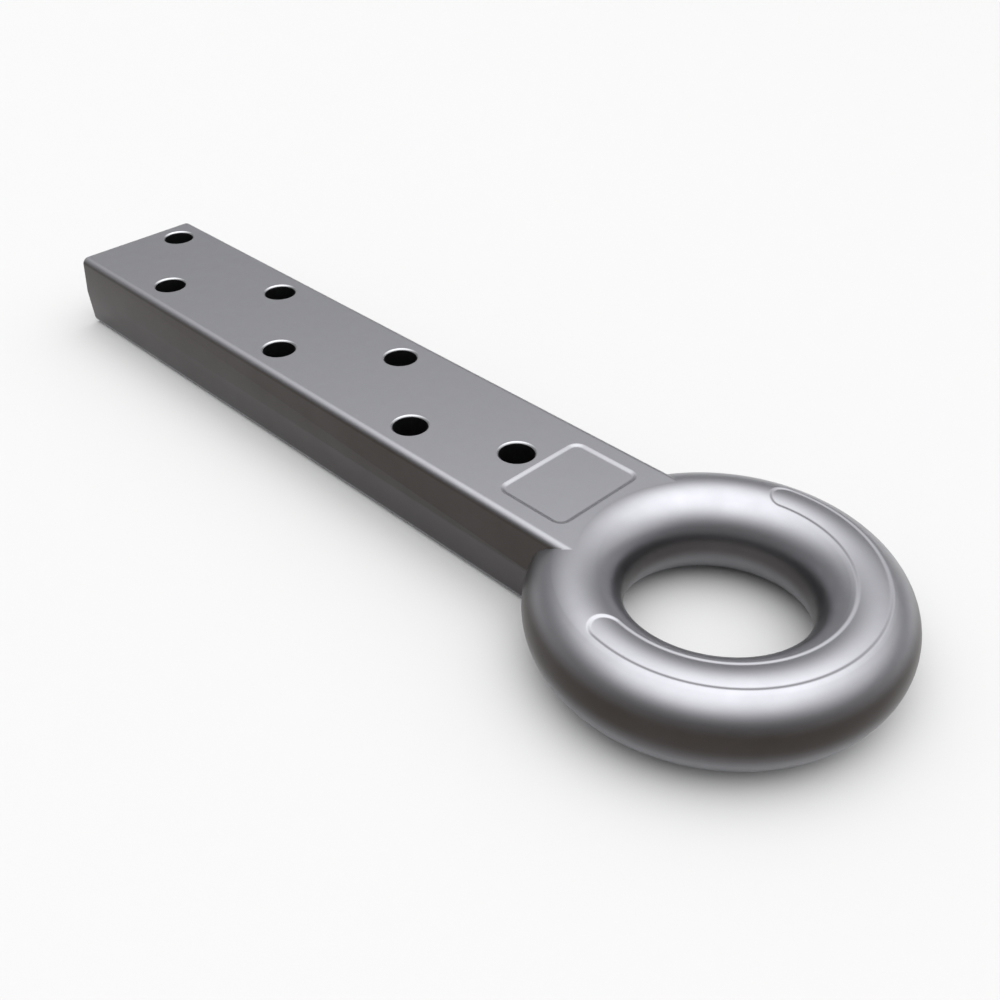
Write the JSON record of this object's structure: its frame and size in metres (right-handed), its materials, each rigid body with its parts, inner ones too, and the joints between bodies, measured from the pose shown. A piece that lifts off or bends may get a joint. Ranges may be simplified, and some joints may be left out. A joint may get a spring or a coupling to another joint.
{
  "type": "bolt-on tow ring",
  "caption": "Forged steel tow ring: a round eye on a long flat shank with staggered bolt holes, bolted to a trailer's drawbar and dropped over a towing hook.",
  "frame": {"origin": "centre of the eye, halfway through the thickness on the forging's parting plane", "axes": "+Z along the eye's axis towards the face with the sunk marking places; +X out of the eye away from the shank, which runs along -X; +Y across the shank"},
  "size_m": [0.5144, 0.1588, 0.0412],
  "materials": {
    "forged_steel": "satin blasted forging, bare"
  },
  "bodies": {
    "root": {"tow_ring": "forged_steel"}
  },
  "joints": []
}
